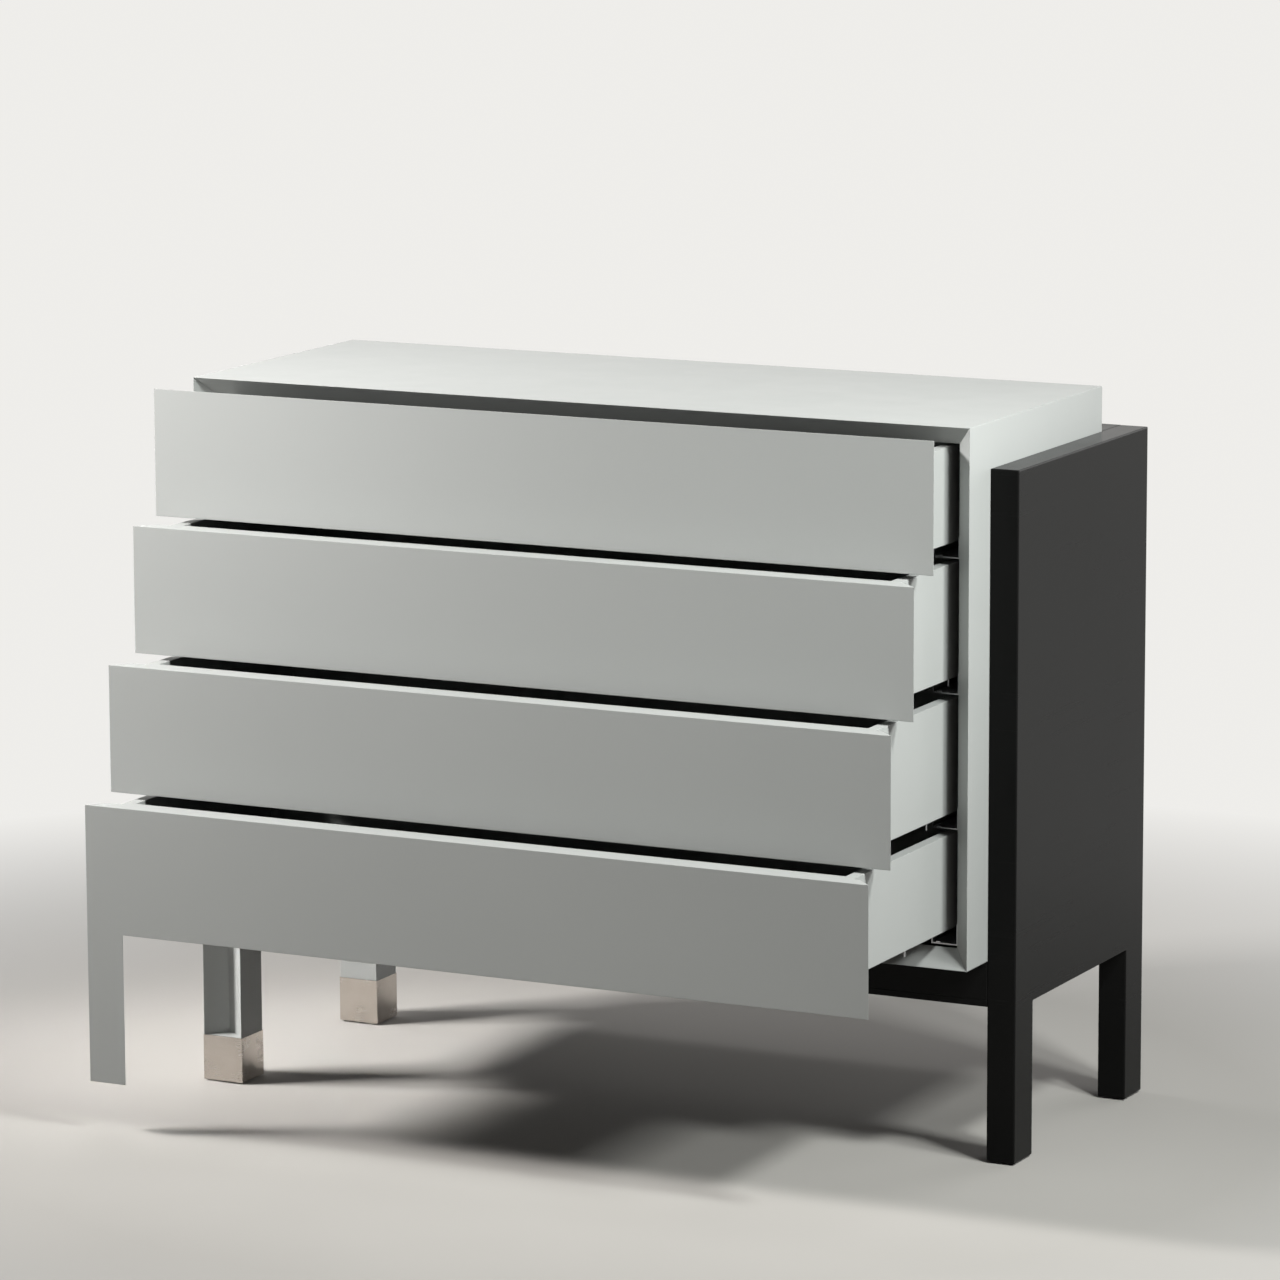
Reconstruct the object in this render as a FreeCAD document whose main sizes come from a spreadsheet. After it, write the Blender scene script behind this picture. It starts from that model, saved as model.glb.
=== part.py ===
import FreeCAD, Part
import os
import Sketcher

# Chest on chest: a grey chest of four drawers set into a black stand.
# X runs to the right, Y to the back and Z up, in millimetres.
# The drawers stand drawn out by the openings below.
# The origin is on the floor, under the middle of the whole part.

doc = FreeCAD.newDocument("ChestOnChest")
sizes = doc.addObject("Spreadsheet::Sheet", "Sizes")

# Driving sizes: alias, millimetres, what it measures.
DRIVING_SIZES = (
    ("carcase_width", 1040, "outside width of the grey carcase"),
    ("carcase_depth", 398, "outside depth of the carcase and of the stand"),
    ("carcase_height", 643, "outside height of the carcase and of the end panel above its legs"),
    ("board", 22, "thickness of the carcase boards and the drawer fronts"),
    ("knife_land", 0.5, "flat left along each knife edge"),
    ("back_panel", 8, "thickness of the carcase back"),
    ("back_rebate", 10, "how far the back panel reaches into the carcase boards"),
    ("panel_play", 0.3, "clearance of a panel in its groove or rebate"),
    ("stand_lift", 190, "underside of the base above the floor"),
    ("stand_drop", 55, "depth of the base, and drop of the stand below the carcase top"),
    ("stand_setback", 60, "front of the stand behind the front of the carcase, and the rear panel's thickness"),
    ("end_panel", 36, "thickness of the black end panel and its legs"),
    ("stand_leg_depth", 54, "front to back size of the black legs"),
    ("panel_arris", 1.5, "rounding of the end panel's edges"),
    ("base_skin", 8, "thickness of the skins of the base and of the rear panel"),
    ("base_rail", 30, "width of the rails inside the base and the rear panel"),
    ("base_play", 1, "gap between the left legs and the base"),
    ("leg_width", 54, "width of the grey legs"),
    ("leg_depth", 52, "front to back size of the grey legs"),
    ("leg_arris", 0.8, "rounding of the grey legs' edges"),
    ("shoe_height", 57, "height of the metal shoes"),
    ("shoe_proud", 0.8, "how far a shoe stands proud of its leg"),
    ("shoe_wall", 2, "wall of a shoe"),
    ("shoe_floor", 3, "floor of a shoe"),
    ("shoe_play", 0.3, "clearance of the leg's tenon in the shoe"),
    ("shoe_arris", 0.8, "rounding of the shoe's edges"),
    ("glide_thickness", 2, "thickness of the foot glides"),
    ("glide_radius", 14, "radius of the foot glides"),
    ("reveal", 2.2, "gap between a front's knife edge and the carcase's"),
    ("front_gap", 5, "gap between two fronts"),
    ("extension_play", 2.5, "gap between the lowest front's extension and the shoe"),
    ("groove_play", 1, "gap behind the extension in the leg's groove"),
    ("box_gap", 13, "gap between the carcase side and a drawer box"),
    ("box_side", 14, "thickness of a box side"),
    ("box_front", 18, "thickness of a box front"),
    ("box_back", 14, "thickness of a box back"),
    ("box_bottom", 6, "thickness of a box bottom"),
    ("box_rear_gap", 13, "gap between a shut drawer box and the carcase back"),
    ("bottom_rise", 10, "underside of the box bottom above the box's lower edge"),
    ("bottom_groove", 6, "depth of the groove that holds the box bottom"),
    ("box_drop", 2, "top of a box below the top of its front or of the opening"),
    ("box_lift", 18, "lower edge of a box above the lower edge of its front"),
    ("runner_tail", 4, "rear end of a runner in front of the rear end of a shut drawer box"),
    ("runner_inset", 1, "front end of a runner behind the back of a closed front"),
    ("runner_drop", 17.5, "underside of a cabinet member's shelf below the box's lower edge"),
    ("runner_web", 26, "height of a cabinet member's web"),
    ("runner_steel", 1.5, "thickness of the cabinet member"),
    ("runner_play", 0.4, "running gap between two members"),
    ("runner_offset", 1.5, "gap between a box side's inner face and the drawer member"),
    ("shelf_lip", 2, "width of the shelf beyond the drawer member"),
    ("channel_wall", 1.5, "wall of the middle and drawer members"),
    ("middle_width", 18, "width of a middle member"),
    ("middle_height", 13, "height of a middle member"),
    ("flange_height", 8, "height of a drawer member"),
    ("pin_radius", 1.25, "radius of the stop pin under a box side"),
    ("pin_margin", 2, "axis of a stop pin from the inner face of its box side"),
    ("pin_play", 2.8, "gap between a stop pin and the shelf below it"),
    ("catch_width", 5, "width of the catch on a shelf's front edge"),
    ("catch_depth", 2, "front to back size of the catch"),
    ("catch_play", 1.2, "gap between the catch and a stop pin that passes over it"),
    ("opening_1", 97, "how far the top drawer stands open"),
    ("opening_2", 151, "how far the second drawer stands open"),
    ("opening_3", 213, "how far the third drawer stands open"),
    ("opening_4", 273, "how far the lowest drawer stands open"),
)

# Sizes worked out from the driving ones. Heights are measured from the floor,
# X and Y from the carcase's front left corner.
DERIVED_SIZES = (
    ("underside", "stand_lift + stand_drop"),
    ("carcase_top", "underside + carcase_height"),
    ("stand_top", "stand_lift + carcase_height"),
    ("stand_back", "stand_setback + carcase_depth"),
    ("shoe_top", "glide_thickness + shoe_height"),
    ("tenon_inset", "shoe_wall - shoe_proud + shoe_play"),
    ("front_height", "(carcase_height - 2 * reveal - 3 * front_gap) / 4"),
    ("front_width", "carcase_width - 2 * reveal"),
    ("bevel", "board - knife_land"),
    ("extension_width", "leg_width - 2 * reveal"),
    ("extension_drop", "underside + reveal - shoe_top - extension_play"),
    ("groove_depth", "board + groove_play"),
    ("base_left", "leg_width + base_play"),
    ("base_width", "carcase_width - base_left"),
    ("rail_height", "stand_drop - 2 * base_skin"),
    ("rear_height", "stand_top - underside"),
    ("rear_core", "stand_setback - 2 * base_skin"),
    ("box_width", "carcase_width - 2 * board - 2 * box_gap"),
    ("box_length", "carcase_depth - back_panel - board - box_rear_gap"),
    ("runner_length", "box_length - runner_inset - runner_tail"),
    ("channel_step", "channel_wall + runner_play"),
    ("drawer_member_width", "middle_width + 2 * channel_step"),
    ("drawer_member_start", "box_gap + box_side + runner_offset"),
    ("rib_width", "middle_width - 2 * channel_step"),
    ("rib_start", "drawer_member_start + 2 * channel_step"),
    ("rib_end", "rib_start + rib_width"),
    ("rib_crest", "runner_drop + bottom_rise - 2 * channel_step"),
    ("runner_shelf", "drawer_member_start + drawer_member_width + shelf_lip"),
    ("pin_length", "runner_drop - runner_steel - pin_play"),
    ("pin_start", "box_gap + box_side - pin_margin"),
    ("catch_start", "pin_start - catch_width / 2"),
    ("catch_height", "pin_play - catch_play"),
    ("centre_x", "(carcase_width + end_panel - shoe_proud) / 2"),
    ("centre_y", "(stand_back - opening_4) / 2"),
)


def fill_sheet():
    """Write the driving sizes, then the worked-out ones, each with its alias."""
    for row, (alias, value, meaning) in enumerate(DRIVING_SIZES, start=1):
        sizes.set(f"A{row}", meaning)
        sizes.set(f"B{row}", str(value))
        sizes.setAlias(f"B{row}", alias)
    doc.recompute()
    for row, (alias, formula) in enumerate(DERIVED_SIZES, start=len(DRIVING_SIZES) + 1):
        sizes.set(f"A{row}", alias.replace("_", " "))
        sizes.set(f"B{row}", "=" + formula)
        sizes.setAlias(f"B{row}", alias)
        doc.recompute()


fill_sheet()
ALIASES = [entry[0] for entry in DRIVING_SIZES] + [entry[0] for entry in DERIVED_SIZES]
nodes = []


def bound(formula):
    """Turn a formula in aliases into one that reads the sheet."""
    words = formula.replace("(", " ( ").replace(")", " ) ").split()
    return " ".join("Sizes." + word if word in ALIASES else word for word in words)


def place(item, x, y, z):
    """Bind an item's place, given from the carcase's front left corner at floor level."""
    item.setExpression("Placement.Base.x", bound(f"{x} - centre_x"))
    item.setExpression("Placement.Base.y", bound(f"{y} - centre_y"))
    item.setExpression("Placement.Base.z", bound(z))


def keep(item, label):
    """Name an item as a node of the part."""
    item.Label = label
    nodes.append(item)
    return item


def block(name, length, width, height, x="0", y="0", z="0"):
    """Make a rectangular block at a place of its own."""
    item = doc.addObject("Part::Box", name)
    item.setExpression("Length", bound(length))
    item.setExpression("Width", bound(width))
    item.setExpression("Height", bound(height))
    item.setExpression("Placement.Base.x", bound(x))
    item.setExpression("Placement.Base.y", bound(y))
    item.setExpression("Placement.Base.z", bound(z))
    return item


def board_node(label, length, width, height, x, y, z):
    """Make a plain board as a node."""
    item = block(label, length, width, height)
    place(item, x, y, z)
    return keep(item, label)


def cut_node(label, blank, tools, x, y, z):
    """Cut tools out of a blank and keep what is left as a node."""
    result = blank
    for number, tool in enumerate(tools, start=1):
        cut = doc.addObject("Part::Cut", f"{label}_cut_{number}")
        cut.Base = result
        cut.Tool = tool
        result = cut
    place(result, x, y, z)
    return keep(result, label)


def group_node(label, members):
    """Keep several separate solids as one node."""
    item = doc.addObject("Part::Compound", label)
    item.Links = members
    return keep(item, label)


def new_body(label, x, y, z):
    """Start a body and place it."""
    body = doc.addObject("PartDesign::Body", label)
    place(body, x, y, z)
    return keep(body, label)


def polygon(body, name, plane, points, rise="0"):
    """Draw a closed outline through points, each a pair of formulas, on a plane of the body."""
    sketch = body.newObject("Sketcher::SketchObject", f"{body.Label}_{name}")
    support = next(item for item in body.Origin.OriginFeatures if item.Role == plane)
    sketch.AttachmentSupport = (support, "")
    sketch.MapMode = "FlatFace"
    sketch.setExpression("AttachmentOffset.Base.z", bound(rise))
    corners = []
    for pair in points:
        values = [float(body.evalExpression(bound(formula))) for formula in pair]
        corners.append(FreeCAD.Vector(values[0], values[1], 0))
    count = len(corners)
    for index in range(count):
        sketch.addGeometry(Part.LineSegment(corners[index], corners[(index + 1) % count]))
    for index in range(count):
        sketch.addConstraint(Sketcher.Constraint("Coincident", index, 2, (index + 1) % count, 1))
    for index, pair in enumerate(points):
        pin_corner(sketch, index, pair, corners[index])
    return sketch


def pin_corner(sketch, index, pair, corner):
    """Hold one corner of an outline at its two formulas."""
    measures = (("DistanceX", -2, pair[0], corner.x), ("DistanceY", -1, pair[1], corner.y))
    for kind, axis, formula, value in measures:
        if formula == "0":
            sketch.addConstraint(Sketcher.Constraint("PointOnObject", index, 1, axis))
            continue
        number = sketch.addConstraint(Sketcher.Constraint(kind, -1, 1, index, 1, value))
        sketch.setExpression(f"Constraints[{number}]", bound(formula))


def pad(body, sketch, length, backwards=False):
    """Raise an outline into a solid."""
    feature = body.newObject("PartDesign::Pad", f"{sketch.Name}_pad")
    feature.Profile = sketch
    feature.setExpression("Length", bound(length))
    feature.Reversed = backwards
    doc.recompute()
    return feature


def pocket(body, sketch):
    """Cut an outline right through the body, both ways, and make sure that it cut."""
    before = body.Shape.Volume
    feature = body.newObject("PartDesign::Pocket", f"{sketch.Name}_pocket")
    feature.Profile = sketch
    feature.SideType = "Symmetric"
    feature.Type = "ThroughAll"
    doc.recompute()
    if body.Shape.Volume >= before:
        raise RuntimeError(f"{sketch.Name} cuts nothing")
    return feature


def round_edges(body, radius, wanted):
    """Round the edges of a body that the test accepts."""
    base = body.Tip
    names = [f"Edge{number}" for number, edge in enumerate(base.Shape.Edges, start=1) if wanted(edge)]
    feature = body.newObject("PartDesign::Fillet", f"{body.Label}_arris")
    feature.Base = (base, names)
    feature.setExpression("Radius", bound(radius))
    doc.recompute()
    return feature


def is_upright(edge):
    """Tell whether a straight edge runs up and down."""
    start, end = (vertex.Point for vertex in edge.Vertexes)
    return start.x == end.x and start.y == end.y


def is_rear_upright(edge):
    """Tell whether an edge runs up and down at the back of a leg."""
    return is_upright(edge) and edge.Vertexes[0].Point.y > float(sizes.groove_depth)


# Carcase boards: mitred at the corners, bevelled behind the knife edge and rebated for the back panel.


def lying_board(label, z, upward, notch=None):
    """Make the top or bottom board. The inner face is the narrow one of its mitred section."""
    body = new_body(label, "0", "0", z)
    inner = "board" if upward else "0"
    outer = "0" if upward else "board"
    edge = "knife_land" if upward else "board - knife_land"
    mitre = [("0", outer), ("carcase_width", outer), ("carcase_width - board", inner), ("board", inner)]
    pad(body, polygon(body, "mitre", "XZ_Plane", mitre), "carcase_depth", backwards=True)
    bevel = [("0", edge), ("bevel", inner), ("0", inner)]
    pocket(body, polygon(body, "bevel", "YZ_Plane", bevel))
    low = "board - back_rebate" if upward else "0"
    high = "board" if upward else "back_rebate"
    start = "carcase_depth - back_panel"
    end = "carcase_depth"
    rebate = [(start, low), (end, low), (end, high), (start, high)]
    pocket(body, polygon(body, "rebate", "YZ_Plane", rebate))
    if notch:
        pocket(body, polygon(body, "notch", "XY_Plane", notch))
    return body


def standing_board(label, x, rightward):
    """Make a side board. The inner face is the short one of its mitred section."""
    body = new_body(label, x, "0", "underside")
    inner = "board" if rightward else "0"
    outer = "0" if rightward else "board"
    edge = "knife_land" if rightward else "board - knife_land"
    mitre = [(outer, "0"), (inner, "board"), (inner, "carcase_height - board"), (outer, "carcase_height")]
    pad(body, polygon(body, "mitre", "XZ_Plane", mitre), "carcase_depth", backwards=True)
    bevel = [(edge, "0"), (inner, "bevel"), (inner, "0")]
    pocket(body, polygon(body, "bevel", "XY_Plane", bevel))
    low = "board - back_rebate" if rightward else "0"
    high = "board" if rightward else "back_rebate"
    start = "carcase_depth - back_panel"
    end = "carcase_depth"
    rebate = [(low, start), (high, start), (high, end), (low, end)]
    pocket(body, polygon(body, "rebate", "XY_Plane", rebate))
    return body


# The groove runs down the front left leg and through the bottom board.
# Both its sides slope like the carcase's own bevel.
GROOVE = [
    ("knife_land", "0"),
    ("knife_land + groove_depth", "groove_depth"),
    ("leg_width - knife_land - groove_depth", "groove_depth"),
    ("leg_width - knife_land", "0"),
]


def make_carcase():
    """Make the four boards and the back."""
    lying_board("carcase_top", "carcase_top - board", upward=False)
    lying_board("carcase_bottom", "underside", upward=True, notch=GROOVE)
    standing_board("carcase_left_side", "0", rightward=True)
    standing_board("carcase_right_side", "carcase_width - board", rightward=False)
    margin = "board - back_rebate + panel_play"
    board_node(
        "carcase_back",
        f"carcase_width - 2 * ({margin})",
        "back_panel",
        f"carcase_height - 2 * ({margin})",
        margin,
        "carcase_depth - back_panel",
        f"underside + {margin}",
    )


def make_stand():
    """Make the black end panel with its legs, and the hollow base."""
    panel = new_body("end_panel", "carcase_width", "stand_setback", "0")
    rear_leg = "carcase_depth - stand_leg_depth"
    outline = [
        ("0", "glide_thickness"),
        ("stand_leg_depth", "glide_thickness"),
        ("stand_leg_depth", "stand_lift"),
        (rear_leg, "stand_lift"),
        (rear_leg, "glide_thickness"),
        ("carcase_depth", "glide_thickness"),
        ("carcase_depth", "stand_top"),
        ("0", "stand_top"),
    ]
    pad(panel, polygon(panel, "outline", "YZ_Plane", outline), "end_panel")
    round_edges(panel, "panel_arris", lambda edge: True)

    skin = ("base_width", "carcase_depth", "base_skin", "base_left", "stand_setback")
    board_node("base_top_skin", *skin, "underside - base_skin")
    board_node("base_bottom_skin", *skin, "stand_lift")
    rail_z = "stand_lift + base_skin"
    long_rail = ("base_width", "base_rail", "rail_height", "base_left")
    board_node("base_front_rail", *long_rail, "stand_setback", rail_z)
    board_node("base_rear_rail", *long_rail, "stand_back - base_rail", rail_z)
    cross = ("base_rail", "carcase_depth - 2 * base_rail", "rail_height")
    between = "stand_setback + base_rail"
    board_node("base_left_rail", *cross, "base_left", between, rail_z)
    board_node("base_middle_rail", *cross, "base_left + (base_width - base_rail) / 2", between, rail_z)
    board_node("base_right_rail", *cross, "carcase_width - base_rail", between, rail_z)


def make_rear_panel():
    """Make the stand's hollow rear panel, which stands on the base behind the carcase."""
    skin = ("base_width", "base_skin", "rear_height", "base_left")
    board_node("rear_panel_front_skin", *skin, "carcase_depth", "underside")
    board_node("rear_panel_rear_skin", *skin, "stand_back - base_skin", "underside")
    core_y = "carcase_depth + base_skin"
    level_rail = ("base_width", "rear_core", "base_rail", "base_left", core_y)
    board_node("rear_panel_bottom_rail", *level_rail, "underside")
    board_node("rear_panel_top_rail", *level_rail, "stand_top - base_rail")
    upright = ("base_rail", "rear_core", "rear_height - 2 * base_rail")
    foot = "underside + base_rail"
    board_node("rear_panel_left_rail", *upright, "base_left", core_y, foot)
    board_node("rear_panel_right_rail", *upright, "carcase_width - base_rail", core_y, foot)


def make_leg(label, y, section, is_arris):
    """Make a grey leg of a given section, with rounded corners and the tenon that stands in its shoe."""
    body = new_body(label, "0", y, "shoe_top")
    pad(body, polygon(body, "section", "XY_Plane", section), "underside - shoe_top")
    round_edges(body, "leg_arris", is_arris)
    near = "tenon_inset"
    far_x = "leg_width - tenon_inset"
    far_y = "leg_depth - tenon_inset"
    tenon = [(near, near), (far_x, near), (far_x, far_y), (near, far_y)]
    length = "shoe_height - shoe_floor - shoe_play"
    pad(body, polygon(body, "tenon", "XY_Plane", tenon), length, backwards=True)
    return body


def make_shoe(label, y):
    """Make a metal shoe: a cup that the leg's tenon stands in."""
    body = new_body(label, "0 - shoe_proud", f"{y} - shoe_proud", "glide_thickness")
    width = "leg_width + 2 * shoe_proud"
    depth = "leg_depth + 2 * shoe_proud"
    outer = [("0", "0"), (width, "0"), (width, depth), ("0", depth)]
    pad(body, polygon(body, "outer", "XY_Plane", outer), "shoe_height")
    round_edges(body, "shoe_arris", is_upright)
    low = "shoe_wall"
    high_x = "leg_width + 2 * shoe_proud - shoe_wall"
    high_y = "leg_depth + 2 * shoe_proud - shoe_wall"
    cup = [(low, low), (high_x, low), (high_x, high_y), (low, high_y)]
    sketch = polygon(body, "cup", "XY_Plane", cup, rise="shoe_height")
    before = body.Shape.Volume
    feature = body.newObject("PartDesign::Pocket", f"{label}_cup")
    feature.Profile = sketch
    feature.setExpression("Length", bound("shoe_height - shoe_floor"))
    doc.recompute()
    if body.Shape.Volume >= before:
        raise RuntimeError(f"{label} has no cup")
    return body


def make_feet():
    """Make the two grey legs, their shoes and the four glides."""
    back = "leg_depth"
    grooved = [("0", "0"), *GROOVE, ("leg_width", "0"), ("leg_width", back), ("0", back)]
    make_leg("front_left_leg", "0", grooved, is_rear_upright)
    plain = [("0", "0"), ("leg_width", "0"), ("leg_width", back), ("0", back)]
    make_leg("rear_left_leg", "carcase_depth - leg_depth", plain, is_upright)
    make_shoe("front_left_shoe", "0")
    make_shoe("rear_left_shoe", "carcase_depth - leg_depth")

    grey_x = "leg_width / 2"
    black_x = "carcase_width + end_panel / 2"
    spots = (
        (grey_x, "leg_depth / 2"),
        (grey_x, "carcase_depth - leg_depth / 2"),
        (black_x, "stand_setback + stand_leg_depth / 2"),
        (black_x, "stand_back - stand_leg_depth / 2"),
    )
    glides = []
    for number, (x, y) in enumerate(spots, start=1):
        glide = doc.addObject("Part::Cylinder", f"glide_{number}")
        glide.setExpression("Radius", bound("glide_radius"))
        glide.setExpression("Height", bound("glide_thickness"))
        place(glide, x, y, "0")
        glides.append(glide)
    group_node("foot_glides", glides)


def make_front(label, y, z, face, back):
    """Make a drawer front: a thin land at its face, tapering to the outline of its back."""
    body = new_body(label, "reveal", y, z)
    pad(body, polygon(body, "face", "XZ_Plane", face), "knife_land", backwards=True)
    loft = body.newObject("PartDesign::AdditiveLoft", f"{label}_taper")
    loft.Profile = polygon(body, "land", "XZ_Plane", face, rise="0 - knife_land")
    loft.Sections = [polygon(body, "back", "XZ_Plane", back, rise="0 - board")]
    loft.Ruled = True
    doc.recompute()
    return body


# The drawers are numbered from the top.
TOPMOST = 1
LOWEST = 4
DRAWERS = range(TOPMOST, LOWEST + 1)


def front_outlines(number):
    """Give the face and back outlines of a front, from its lower left corner."""
    right = "front_width"
    inner = "front_width - bevel"
    top = "front_height"
    if number == LOWEST:
        high = "extension_drop + front_height"
        face = [("0", "0"), ("extension_width", "0"), ("extension_width", "extension_drop"),
                (right, "extension_drop"), (right, high), ("0", high)]
        step = "extension_width - bevel"
        rise = "extension_drop + bevel"
        back = [("bevel", "0"), (step, "0"), (step, rise), (inner, rise), (inner, high), ("bevel", high)]
        return face, back
    face = [("0", "0"), (right, "0"), (right, top), ("0", top)]
    high = "front_height - bevel" if number == TOPMOST else top
    back = [("bevel", "0"), (inner, "0"), (inner, high), ("bevel", high)]
    return face, back


def make_drawer(number):
    """Make a drawer: its front and the five boards of its box."""
    name = f"drawer_{number}"
    shut_in = f"opening_{number}"
    face_y = f"0 - {shut_in}"
    front_z = f"carcase_top - reveal - {number} * front_height - {number - 1} * front_gap"
    lowered = "extension_drop" if number == LOWEST else "0"
    face, back = front_outlines(number)
    make_front(f"{name}_front", face_y, f"{front_z} - {lowered}", face, back)

    cover_low = "board + box_lift" if number == LOWEST else "box_lift"
    cover_high = "board + box_drop" if number == TOPMOST else "box_drop"
    box_z = f"{front_z} + {cover_low}"
    height = f"front_height - ({cover_low}) - ({cover_high})"
    left = "board + box_gap"
    near = f"board - {shut_in}"
    inner_width = "box_width - 2 * box_side"

    slot_height = "box_bottom + 2 * panel_play"
    slot_z = "bottom_rise - panel_play"
    slot_run = "box_length - box_front - box_back + 2 * bottom_groove"
    slot_start = "box_front - bottom_groove"
    sides = (
        ("left_side", left, "box_side - bottom_groove"),
        ("right_side", f"{left} + box_width - box_side", "0"),
    )
    for side, x, slot_x in sides:
        blank = block(f"{name}_{side}_blank", "box_side", "box_length", height)
        slot_size = ("bottom_groove", slot_run, slot_height)
        slot = block(f"{name}_{side}_slot", *slot_size, slot_x, slot_start, slot_z)
        cut_node(f"{name}_{side}", blank, [slot], x, near, box_z)

    inside = f"{left} + box_side"
    ends = (
        ("box_front", "box_front", near, "box_front - bottom_groove"),
        ("box_back", "box_back", f"{near} + box_length - box_back", "0"),
    )
    for end, thickness, y, slot_y in ends:
        blank = block(f"{name}_{end}_blank", inner_width, thickness, f"{height} - bottom_rise")
        slot_size = (inner_width, "bottom_groove", slot_height)
        slot = block(f"{name}_{end}_slot", *slot_size, "0", slot_y, "0 - panel_play")
        cut_node(f"{name}_{end}", blank, [slot], inside, y, f"{box_z} + bottom_rise")

    reach = "bottom_groove - panel_play"
    board_node(
        f"{name}_bottom",
        f"{inner_width} + 2 * ({reach})",
        f"box_length - box_front - box_back + 2 * ({reach})",
        "box_bottom",
        f"{inside} - ({reach})",
        f"{near} + box_front - ({reach})",
        f"{box_z} + bottom_rise",
    )
    make_runners(name, shut_in, box_z)


def bar(name, profile, x, y, z):
    """Make a runner member of a given section, running front to back."""
    body = doc.addObject("PartDesign::Body", name)
    body.Label = name
    place(body, x, y, z)
    pad(body, polygon(body, "profile", "XZ_Plane", profile), "runner_length", backwards=True)
    return body


def channel(width, height):
    """Give the section of a channel that is open downwards."""
    far = f"{width} - channel_wall"
    web = f"{height} - channel_wall"
    return [("0", "0"), ("channel_wall", "0"), ("channel_wall", web), (far, web),
            (far, "0"), (width, "0"), (width, height), ("0", height)]


def cabinet_angle():
    """Give the section of a cabinet member: a web on the carcase side and a shelf that is folded up into a rib."""
    top = "runner_steel"
    hollow_start = "rib_start + runner_steel"
    hollow_end = "rib_end - runner_steel"
    hollow_top = "rib_crest - runner_steel"
    return [
        ("0", "0"),
        (hollow_start, "0"),
        (hollow_start, hollow_top),
        (hollow_end, hollow_top),
        (hollow_end, "0"),
        ("runner_shelf", "0"),
        ("runner_shelf", top),
        ("rib_end", top),
        ("rib_end", "rib_crest"),
        ("rib_start", "rib_crest"),
        ("rib_start", top),
        ("runner_steel", top),
        ("runner_steel", "runner_web"),
        ("0", "runner_web"),
    ]


def catch_outline():
    """Give the face of the catch that stands on the shelf's front edge."""
    low = "runner_steel"
    high = "runner_steel + catch_height"
    far = "catch_start + catch_width"
    return [("catch_start", low), (far, low), (far, high), ("catch_start", high)]


def handed(outline, mirrored):
    """Turn a cabinet member's outline round for the right side."""
    if not mirrored:
        return outline
    return [("0" if x == "runner_shelf" else f"runner_shelf - ({x})", z) for x, z in outline]


def cabinet_member(name, mirrored, x, y, z):
    """Make a cabinet member with the catch on its front edge."""
    body = bar(name, handed(cabinet_angle(), mirrored), x, y, z)
    catch = polygon(body, "catch", "XZ_Plane", handed(catch_outline(), mirrored))
    pad(body, catch, "catch_depth", backwards=True)
    return body


def stop_pin(name, x, y, z):
    """Make a stop pin that hangs from a box side's lower edge."""
    pin = doc.addObject("Part::Cylinder", name)
    pin.setExpression("Radius", bound("pin_radius"))
    pin.setExpression("Height", bound("pin_length"))
    place(pin, x, y, z)
    return pin


def make_runners(name, shut_in, box_z):
    """Make a drawer's two telescopic runners: cabinet, middle and drawer members, and the stop pins."""
    start = "board + runner_inset"
    shelf_z = f"{box_z} - runner_drop"
    right = "carcase_width - board"

    cabinet = [
        cabinet_member(f"{name}_left_cabinet_runner", False, "board", start, shelf_z),
        cabinet_member(f"{name}_right_cabinet_runner", True, f"{right} - runner_shelf", start, shelf_z),
    ]
    group_node(f"{name}_cabinet_runners", cabinet)

    inset = "drawer_member_start + channel_step"
    section = channel("middle_width", "middle_height")
    y = f"{start} - {shut_in} / 2"
    z = f"{box_z} + bottom_rise - channel_step - middle_height"
    middle = [
        bar(f"{name}_left_middle_runner", section, f"board + {inset}", y, z),
        bar(f"{name}_right_middle_runner", section, f"{right} - ({inset}) - middle_width", y, z),
    ]
    group_node(f"{name}_middle_runners", middle)

    section = channel("drawer_member_width", "flange_height")
    y = f"{start} - {shut_in}"
    z = f"{box_z} + bottom_rise - flange_height"
    far_x = f"{right} - drawer_member_start - drawer_member_width"
    pin_y = f"board - {shut_in} + box_length / 2"
    pin_z = f"{box_z} - pin_length"
    drawer = [
        bar(f"{name}_left_drawer_runner", section, "board + drawer_member_start", y, z),
        bar(f"{name}_right_drawer_runner", section, far_x, y, z),
        stop_pin(f"{name}_left_pin", "board + pin_start", pin_y, pin_z),
        stop_pin(f"{name}_right_pin", f"{right} - pin_start", pin_y, pin_z),
    ]
    group_node(f"{name}_drawer_runners", drawer)


def check_document():
    """Stop if any object failed or any node is missing its solids."""
    doc.recompute()
    for item in doc.Objects:
        if "Invalid" in item.State or "Error" in item.State:
            raise RuntimeError(f"{item.Label} failed: {item.State}")
    for item in nodes:
        shape = item.Shape
        if shape.isNull() or not shape.isValid() or not shape.Solids:
            raise RuntimeError(f"{item.Label} has no valid solid")


def write_parts():
    """Write each node to a file named for it."""
    os.makedirs("parts", exist_ok=True)
    for item in nodes:
        item.Shape.exportStep(f"parts/{item.Label}.step")


make_carcase()
make_stand()
make_rear_panel()
make_feet()
for drawer_number in DRAWERS:
    make_drawer(drawer_number)
check_document()
write_parts()
print(len(nodes), "nodes written")
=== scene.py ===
"""Looks of a chest on chest: a grey chest of four drawers, with knife edges, set into a black stand."""

import logging
import math
from collections.abc import Callable, Iterable
from dataclasses import dataclass
from enum import Enum

import bpy
from mathutils import Euler, Matrix, Vector


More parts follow.
